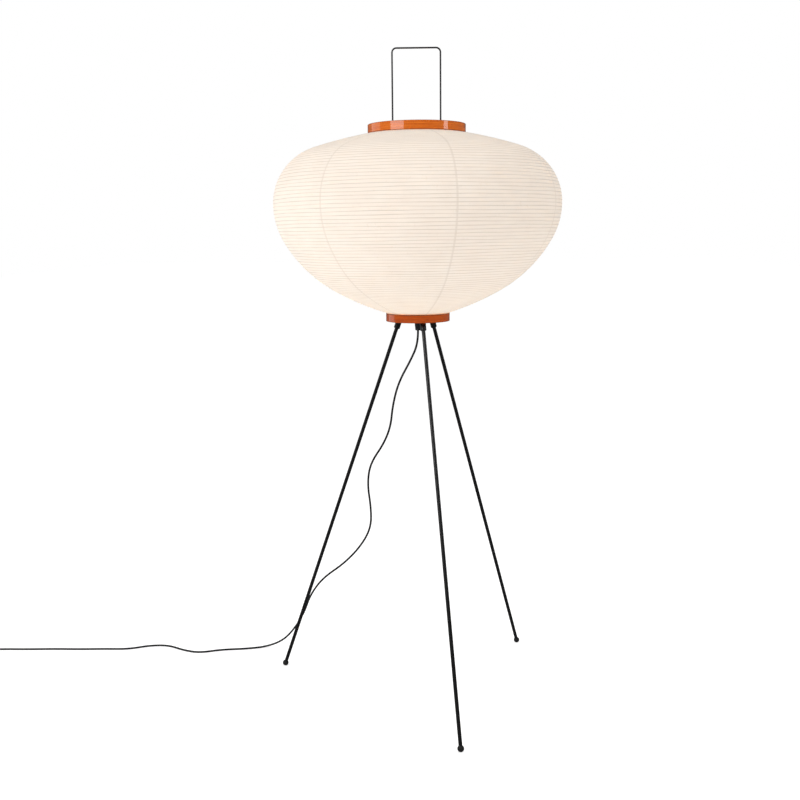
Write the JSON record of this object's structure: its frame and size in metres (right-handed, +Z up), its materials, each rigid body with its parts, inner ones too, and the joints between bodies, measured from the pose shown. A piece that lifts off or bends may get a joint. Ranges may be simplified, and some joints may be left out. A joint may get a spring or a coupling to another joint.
{
  "type": "floor lamp",
  "caption": "Floor lamp with an onion-shaped ribbed paper lantern shade on a slender metal tripod, with a wire carrying bow, a lead and a plug.",
  "frame": {"origin": "on the floor, on the lamp's vertical axis", "axes": "+Z up along the lamp's axis; the lamp is seen from -Y with +X to the right, the wire bow lies in the XZ plane and the lead runs off towards -X"},
  "size_m": [1.4109, 0.5562, 1.22],
  "materials": {
    "black_metal": "satin black powder coat",
    "black_wire": "satin black",
    "zinc_steel": "zinc plated",
    "lacquered_wood": "clear gloss lacquer over bent wood",
    "paper": "matt handmade paper",
    "bamboo": "natural split bamboo",
    "black_plastic": "moulded, lightly grained",
    "black_rubber": "soft moulded",
    "cord_sheath": "smooth round PVC sheath",
    "white_insulator": "glazed steatite",
    "brass": "bright",
    "nickel_brass": "nickel plated",
    "copper_wire": "insulated conductor",
    "opal_glass": "frosted inside",
    "filament": "yellow phosphor",
    "stem_glass": "clear"
  },
  "bodies": {
    "stand": {"base_plate": "black_metal", "leg_socket_left": "black_metal", "leg_socket_front": "black_metal", "leg_socket_right": "black_metal", "leg_left": "black_metal", "leg_front": "black_metal", "leg_right": "black_metal", "foot_ball_left": "black_rubber", "foot_ball_front": "black_rubber", "foot_ball_right": "black_rubber", "ring_hook_left": "zinc_steel", "ring_hook_front": "zinc_steel", "ring_hook_right": "zinc_steel", "hook_rivets": "black_metal", "stretcher": "black_wire", "stretcher_sleeve_left": "black_metal", "stretcher_sleeve_right": "black_metal", "lower_ring": "lacquered_wood", "shade_paper": "paper", "shade_ribs": "bamboo", "nipple": "zinc_steel", "nipple_washers": "zinc_steel", "nipple_nuts": "black_metal", "cord_gland": "black_plastic", "supply_lead": "cord_sheath", "conductors": "copper_wire", "holder_cap": "black_plastic", "holder_insert": "white_insulator", "holder_sleeve": "black_plastic", "screw_shell": "nickel_brass", "centre_contact": "brass", "terminal_screws": "brass", "bulb_contact": "nickel_brass", "bulb_insulator": "black_plastic", "bulb_cap": "nickel_brass", "bulb_glass": "opal_glass", "bulb_stem": "stem_glass", "bulb_filament": "filament", "cord_run": "cord_sheath", "switch_base": "black_plastic", "switch_cover": "black_plastic", "switch_spring": "zinc_steel", "switch_contacts": "brass", "switch_screws": "zinc_steel", "switch_relief_in": "black_rubber", "switch_relief_out": "black_rubber", "switch_tails": "cord_sheath", "cord_tail": "cord_sheath", "cord_coil": "cord_sheath", "coil_tie": "black_plastic", "plug_relief": "black_rubber", "plug_body": "black_plastic", "plug_pins": "nickel_brass", "pin_sleeves": "black_plastic"},
    "upper_hoop": {"upper_ring": "lacquered_wood", "ring_bracket_left": "black_wire", "ring_bracket_right": "black_wire", "bracket_screws": "zinc_steel"},
    "button": {"switch_button": "black_plastic"}
  },
  "joints": [
    {"name": "shade_collapse", "type": "slide", "parent": "stand", "child": "upper_hoop", "axis": [0, 0, -1], "range_m": [0, 0.29], "deforming": ["shade_paper", "shade_ribs"]},
    {"name": "switch_push", "type": "slide", "parent": "stand", "child": "button", "axis": [0, 0, -1], "range_m": [0, 0.003], "stiffness_N_per_m": 400, "springref_m": -0.003, "deforming": ["switch_spring"]}
  ]
}
